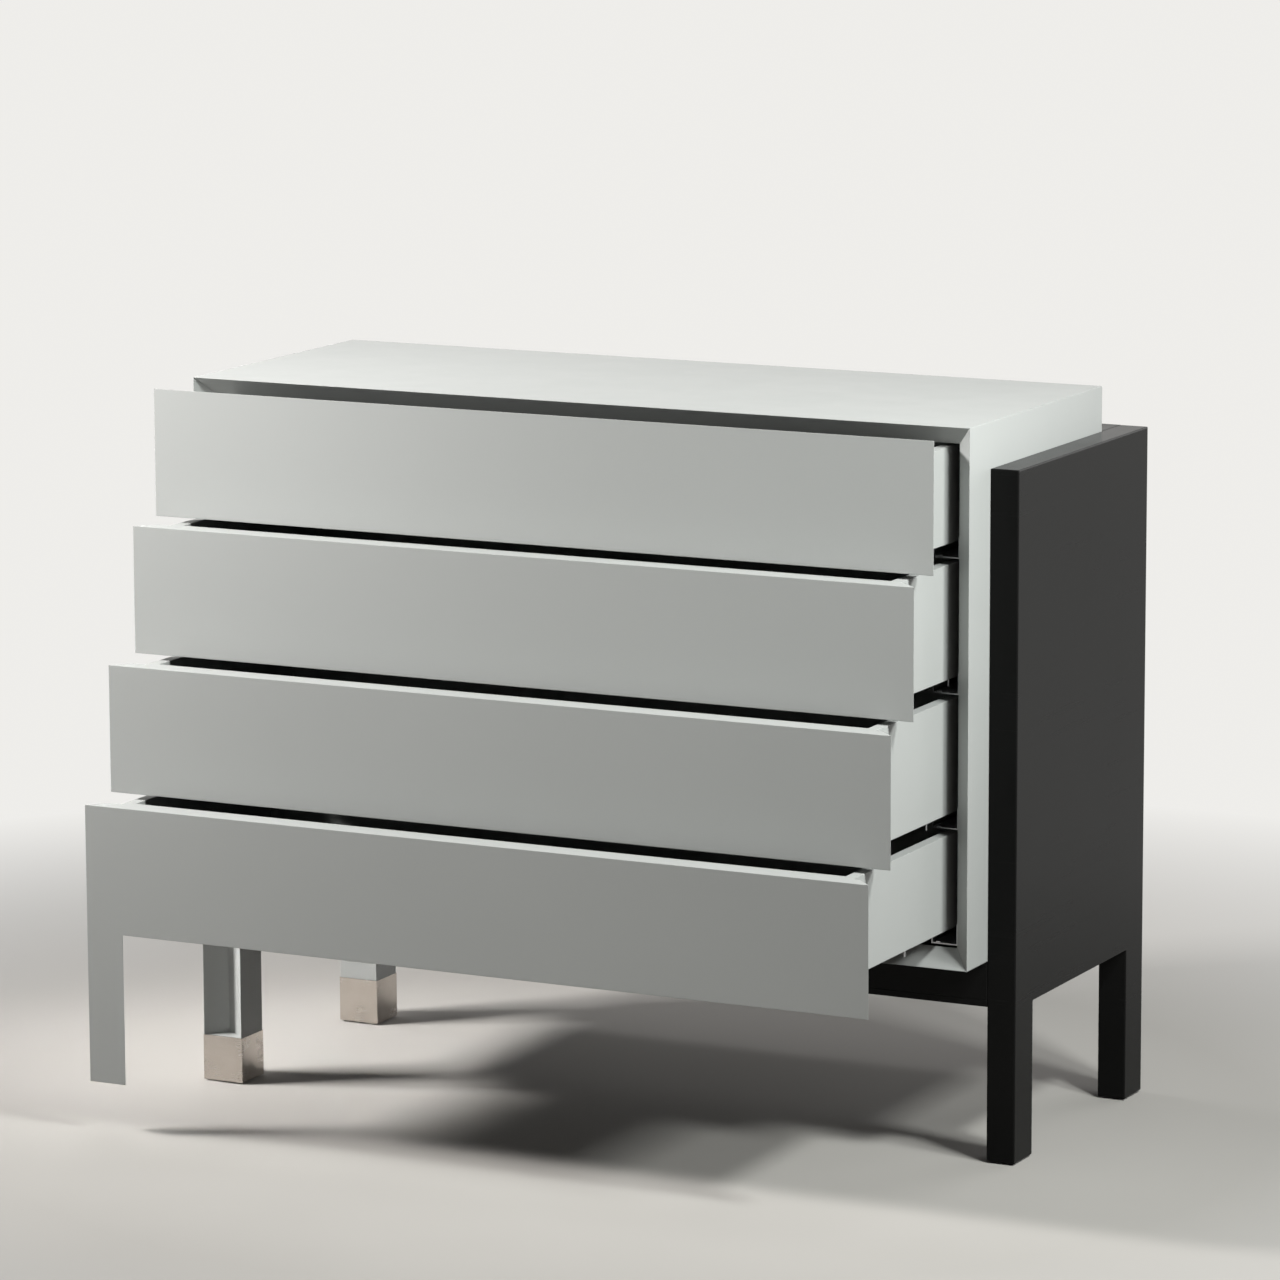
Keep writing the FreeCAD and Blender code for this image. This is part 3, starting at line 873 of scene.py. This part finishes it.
@dataclass
class Stand:
    """The black stand: the end panel with its two legs, the hollow base and the hollow rear panel."""

    panel: str = "end_panel"
    base: tuple[str, ...] = (
        "base_bottom_skin",
        "base_top_skin",
        "base_front_rail",
        "base_rear_rail",
        "base_left_rail",
        "base_middle_rail",
        "base_right_rail",
    )
    rear: tuple[str, ...] = (
        "rear_panel_front_skin",
        "rear_panel_rear_skin",
        "rear_panel_top_rail",
        "rear_panel_bottom_rail",
        "rear_panel_left_rail",
        "rear_panel_right_rail",
    )

    def dress(self) -> None:
        """Lacquer the stand."""
        dress((self.panel, *self.base, *self.rear), BLACK_LACQUER)


@dataclass
class LeftLegs:
    """The two grey legs on the left in their metal shoes, and the glides under all four legs."""

    legs: tuple[str, str] = ("front_left_leg", "rear_left_leg")
    shoes: tuple[str, str] = ("front_left_shoe", "rear_left_shoe")
    glides: str = "foot_glides"

    def dress(self) -> None:
        """Finish the legs, the shoes and the glides."""
        dress(self.legs, GREY_LACQUER)
        dress(self.shoes, NICKEL)
        dress((self.glides,), BLACK_NYLON)


@dataclass
class Drawer:
    """A drawer: its knife-edged front, its box and its two telescopic runners."""

    number: int
    boards: tuple[str, ...] = ("front", "box_front", "box_back", "left_side", "right_side")
    members: tuple[str, ...] = ("cabinet_runners", "middle_runners", "drawer_runners")
    screws_across: int = 4
    screw_margin: float = 0.09
    screw_rows: tuple[float, ...] = (0.3, 0.75)
    web_screws: tuple[float, ...] = (0.1, 0.5, 0.9)
    web_height: float = 0.017
    web_steel: float = 0.0015

    def node(self, piece: str) -> str:
        """Give the name of one of the drawer's pieces."""
        return f"drawer_{self.number}_{piece}"

    def dress(self) -> None:
        """Finish the front, the box and the runners."""
        dress([self.node(piece) for piece in self.boards], GREY_LACQUER)
        dress([self.node("bottom")], DARK_PANEL)
        dress([self.node(piece) for piece in self.members], ZINC)

    def build(self, screw: Screw, pattern: Piece) -> None:
        """Set the screws of the front, inside the box, and of the cabinet members.

        Args:
            screw: the screw's sizes.
            pattern: the modelled head.
        """
        screw.drive(self.node("front_screws"), pattern, self.front_spots(), f"drawer_{self.number}")
        screw.drive(self.node("cabinet_screws"), pattern, self.web_spots(), CHEST)

    def front_spots(self) -> list[Spot]:
        """Place the screws that go through the box front into the front.

        Returns:
            Each screw's place and the way that it looks.
        """
        low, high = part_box(self.node("box_front"))
        left, right = low.x + self.screw_margin, high.x - self.screw_margin
        spots = []
        for index in range(self.screws_across):
            x = left + (right - left) * index / (self.screws_across - 1)
            for share in self.screw_rows:
                z = low.z + (high.z - low.z) * share
                spots.append(((x, high.y, z), Facing.BACK))
        return spots

    def web_spots(self) -> list[Spot]:
        """Place the screws that hold the cabinet members' webs to the carcase sides.

        Returns:
            Each screw's place and the way that it looks.
        """
        low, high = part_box(self.node("cabinet_runners"))
        z = low.z + self.web_height
        spots = []
        for share in self.web_screws:
            y = low.y + (high.y - low.y) * share
            spots.append(((low.x + self.web_steel, y, z), Facing.RIGHT))
            spots.append(((high.x - self.web_steel, y, z), Facing.LEFT))
        return spots


@dataclass(frozen=True)
class Softbox:
    """A rectangular lamp that shines at a point, and that gloss mirrors or not.

    Its size is in metres, its power in watts and its spread in degrees.
    """

    name: str
    place: Point
    aim: Point
    size: Span
    power: float
    colour: Colour = WHITE_LIGHT
    spread: float = 180.0
    mirrored: bool = True

    def hang(self) -> None:
        """Add the lamp to the scene."""
        lamp = bpy.data.lights.new(self.name, "AREA")
        lamp.shape = "RECTANGLE"
        lamp.size, lamp.size_y = self.size
        lamp.energy = self.power
        lamp.color = self.colour
        lamp.spread = math.radians(self.spread)
        holder = bpy.data.objects.new(self.name, lamp)
        holder.visible_camera = False
        holder.visible_glossy = self.mirrored
        holder.location = self.place
        way = Vector(self.aim) - Vector(self.place)
        holder.rotation_euler = way.to_track_quat("-Z", "Y").to_euler()
        bpy.context.scene.collection.objects.link(holder)


@dataclass(frozen=True)
class Viewpoint:
    """Where the camera stands: its place, its turns in radians, and its lens and sensor in millimetres."""

    place: Point = (3.306455, -6.50445, 1.890572)
    yaw: float = 0.46677
    pitch: float = -0.17686
    roll: float = -0.00387
    lens: float = 172.146
    sensor: float = 36.0
    reach: float = 100.0

    def stand(self) -> None:
        """Add the camera and look through it."""
        data = bpy.data.cameras.new("viewpoint")
        data.lens = self.lens
        data.sensor_width = self.sensor
        data.clip_end = self.reach
        camera = bpy.data.objects.new("viewpoint", data)
        bpy.context.scene.collection.objects.link(camera)
        turn = Matrix.Rotation(self.yaw, 4, "Z")
        tilt = Matrix.Rotation(math.pi / 2 + self.pitch, 4, "X")
        lean = Matrix.Rotation(self.roll, 4, "Z")
        camera.matrix_world = Matrix.Translation(self.place) @ turn @ tilt @ lean
        bpy.context.scene.camera = camera


SOFTBOXES = (
    Softbox(
        "left_beam",
        place=(-1.92, -1.0, 1.74),
        aim=(-0.5, -0.2, 0.97),
        size=(0.38, 0.38),
        power=15.0,
        colour=WARM_LIGHT,
        spread=75.0,
        mirrored=False,
    ),
    Softbox(
        "left_softbox",
        place=(-1.94, -1.02, 1.76),
        aim=(0.0, -0.1, 0.4),
        size=(0.42, 0.42),
        power=16.0,
        colour=WARM_LIGHT,
        mirrored=False,
    ),
    Softbox(
        "low_beam",
        place=(-2.05, -0.66, 1.5),
        aim=(-0.4, 0.1, 0.06),
        size=(0.26, 0.26),
        power=1.3,
        colour=WARM_LIGHT,
        spread=28.0,
        mirrored=False,
    ),
    Softbox(
        "right_beam",
        place=(1.8, -0.74, 2.18),
        aim=(0.5, -0.15, 0.88),
        size=(0.28, 0.28),
        power=9.8,
        colour=COOL_LIGHT,
        spread=85.0,
    ),
    Softbox(
        "side_softbox",
        place=(2.15, -0.45, 1.6),
        aim=(0.35, -0.1, 0.58),
        size=(0.34, 0.34),
        power=9.6,
        colour=COOL_LIGHT,
        spread=100.0,
    ),
    Softbox("top_softbox", place=(-0.9, 0.4, 2.35), aim=(-0.4, 0.12, 0.88), size=(0.9, 0.9), power=11.0),
    Softbox("back_softbox", place=(1.5, 2.6, 1.3), aim=(0.0, 0.2, 0.45), size=(1.6, 1.2), power=16.0),
)


@dataclass
class Studio:
    """A plain pale floor, soft lamps, faint light from all round and the camera."""

    lamps: tuple[Softbox, ...] = SOFTBOXES
    viewpoint: Viewpoint = Viewpoint()
    floor_radius: float = 45.0
    floor_facets: int = 96
    floor_colour: Colour = (0.468, 0.45, 0.428)
    floor_tones: Span = (0.97, 1.03)
    floor_span: Span = (0.35, 0.65)
    floor_scale: float = 1.3
    floor_gloss: Span = (0.75, 0.9)
    floor_return: float = 0.61
    pale: Colour = (0.86, 0.85, 0.825)
    fade: Span = (0.8, 2.0)
    ambient: float = 0.03

    def build(self) -> None:
        """Set the studio up."""
        self.lay_floor()
        self.fill_world()
        for lamp in self.lamps:
            lamp.hang()
        self.viewpoint.stand()
        bpy.context.scene.view_settings.view_transform = "Standard"
        LOG.info("set up the studio with %d lamps", len(self.lamps))

    def lay_floor(self) -> None:
        """Lay the floor just under the glides. Away from the object it fades into the pale background."""
        bpy.ops.object.select_all(action="DESELECT")
        bpy.ops.mesh.primitive_circle_add(
            vertices=self.floor_facets,
            radius=self.floor_radius,
            fill_type="NGON",
            location=(0.0, 0.0, CAD_BOX[0].z),
        )
        floor = bpy.context.object
        floor.name = "floor"
        Hand.settle(floor)
        floor.data.materials.append(self.floor_material())

    def seen(self, nodes: bpy.types.Nodes, links: bpy.types.NodeLinks) -> Socket:
        """Give 1 for rays that come straight from the camera or by a mirror or a pane, and 0 for light.

        Args:
            nodes: the nodes of a tree.
            links: its links.

        Returns:
            The socket that holds the answer.
        """
        path = nodes.new("ShaderNodeLightPath")
        answer = path.outputs["Is Camera Ray"]
        for name in ("Is Glossy Ray", "Is Transmission Ray"):
            either = nodes.new("ShaderNodeMath")
            either.operation = Join.GREATEST.value
            links.new(answer, either.inputs[0])
            links.new(path.outputs[name], either.inputs[1])
            answer = either.outputs["Value"]
        return answer

    def floor_material(self) -> bpy.types.Material:
        """Make the floor's material, which throws back less light than it shows.

        Returns:
            The material.
        """
        board = NodeBoard("pale_floor")
        place = board.place()
        cloud = board.noise(place, Detail.RICH, self.floor_scale)
        seen = self.seen(board.nodes, board.links)
        shown = board.tones(cloud, self.floor_span, self.floor_colour, self.floor_tones)
        dim = shade(self.floor_colour, self.floor_return)
        unseen = board.tones(cloud, self.floor_span, dim, self.floor_tones)
        board.feed(board.blend(seen, unseen, shown), "Base Color")
        board.feed(board.spread(cloud, NOISE_SPAN, self.floor_gloss), "Roughness")
        reach = board.nodes.new("ShaderNodeVectorMath")
        reach.operation = "LENGTH"
        board.links.new(place, reach.inputs[0])
        far = board.spread(reach.outputs["Value"], self.fade, FULL_SPAN)
        glow = board.nodes.new("ShaderNodeEmission")
        glow.inputs["Color"].default_value = (*self.pale, 1.0)
        mixed = board.nodes.new("ShaderNodeMixShader")
        board.links.new(board.join(Join.PRODUCT, far, seen), mixed.inputs["Fac"])
        board.links.new(board.shader.outputs["BSDF"], mixed.inputs[1])
        board.links.new(glow.outputs["Emission"], mixed.inputs[2])
        board.links.new(mixed.outputs["Shader"], board.nodes["Material Output"].inputs["Surface"])
        return board.material

    def fill_world(self) -> None:
        """Give the world its faint light, and its pale colour where it is seen."""
        world = bpy.data.worlds.new("studio_air")
        bpy.context.scene.world = world
        world.use_nodes = True
        nodes, links = world.node_tree.nodes, world.node_tree.links
        light = nodes["Background"]
        light.inputs["Strength"].default_value = self.ambient
        light.inputs["Color"].default_value = (*WHITE_LIGHT, 1.0)
        shown = nodes.new("ShaderNodeBackground")
        shown.inputs["Color"].default_value = (*self.pale, 1.0)
        mixed = nodes.new("ShaderNodeMixShader")
        links.new(self.seen(nodes, links), mixed.inputs["Fac"])
        links.new(light.outputs["Background"], mixed.inputs[1])
        links.new(shown.outputs["Background"], mixed.inputs[2])
        links.new(mixed.outputs["Shader"], nodes["World Output"].inputs["Surface"])


def main() -> None:
    """Build and dress the chest on chest, then set up the studio round it."""
    logging.basicConfig(level=logging.INFO, format="%(message)s")
    screw = Screw()
    pattern = screw.model()
    Carcase().dress()
    Stand().dress()
    LeftLegs().dress()
    for number in range(1, DRAWER_COUNT + 1):
        drawer = Drawer(number)
        drawer.dress()
        drawer.build(screw, pattern)
    bpy.data.objects.remove(pattern)
    Studio().build()


if __name__ == "__main__":
    main()
